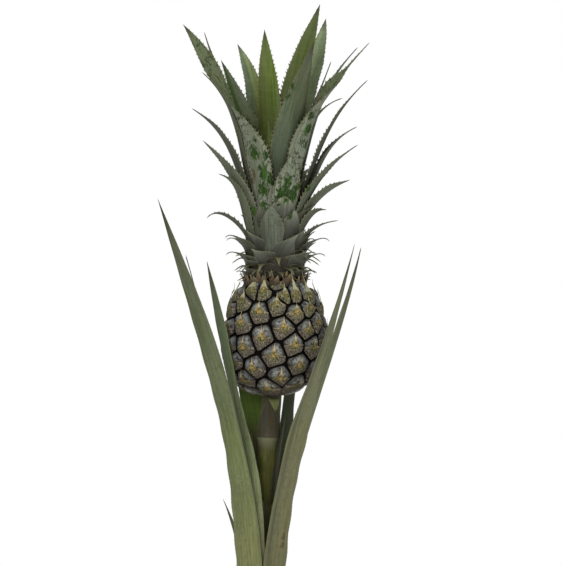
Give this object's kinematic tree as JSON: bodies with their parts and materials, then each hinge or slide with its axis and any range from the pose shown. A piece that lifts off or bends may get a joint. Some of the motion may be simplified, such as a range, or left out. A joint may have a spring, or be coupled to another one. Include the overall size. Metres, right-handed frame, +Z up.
{
  "type": "pineapple plant",
  "caption": "Fruiting pineapple plant with long spiny trough-shaped leaves, a stalk with clasping bracts, and a barrel fruit under a tall open crown of leaves.",
  "frame": {"origin": "middle of the flat cut under the stem, at ground level", "axes": "+Z up along the stem, -Y the side the fruit's face was seen from, +X to the right of that view"},
  "size_m": [0.2833, 0.3177, 0.7361],
  "materials": {
    "stem": "matt, ringed brown-green stem",
    "stalk": "matt olive stalk",
    "bract": "dry grey-brown bract",
    "leaf": "satin grey-green leaf with fine streaks",
    "crown": "green leaf with a whitish bloom",
    "fruit": "waxy slate-grey rind with dry ochre bracts"
  },
  "bodies": {
    "root": {"stem": "stem", "leaf_behind_left": "leaf", "leaf_behind_middle": "leaf", "leaf_behind_right": "leaf", "leaf_left_back": "leaf", "leaf_left_front": "leaf", "leaf_left_inner": "leaf", "leaf_left_short": "leaf", "leaf_low_1": "leaf", "leaf_low_2": "leaf", "leaf_low_3": "leaf", "leaf_low_4": "leaf", "leaf_low_5": "leaf", "leaf_low_6": "leaf", "leaf_low_7": "leaf", "leaf_right_back": "leaf", "leaf_right_front": "leaf", "stalk": "stalk", "bract_left": "bract", "bract_low": "bract", "bract_right": "bract", "bract_top": "bract", "fruit": "fruit", "crown_core": "crown", "crown_collar_high": "crown", "crown_collar_low": "crown", "crown_collar_middle": "crown", "crown_leaf_01": "crown", "crown_leaf_02": "crown", "crown_leaf_03": "crown", "crown_leaf_04": "crown", "crown_leaf_05": "crown", "crown_leaf_06": "crown", "crown_leaf_07": "crown", "crown_leaf_08": "crown", "crown_leaf_09": "crown", "crown_leaf_10": "crown", "crown_leaf_11": "crown", "crown_leaf_12": "crown", "crown_leaf_13": "crown", "crown_leaf_14": "crown", "crown_leaf_15": "crown", "crown_leaf_16": "crown", "crown_leaf_17": "crown", "crown_leaf_18": "crown", "crown_leaf_19": "crown", "crown_leaf_20": "crown", "crown_leaf_21": "crown", "crown_leaf_22": "crown", "crown_leaf_23": "crown", "crown_leaf_24": "crown", "crown_leaf_25": "crown", "crown_leaf_26": "crown", "crown_leaf_27": "crown", "crown_leaf_28": "crown", "crown_leaf_29": "crown", "crown_leaf_30": "crown", "crown_leaf_31": "crown", "crown_leaf_32": "crown", "crown_leaf_33": "crown"}
  },
  "joints": []
}
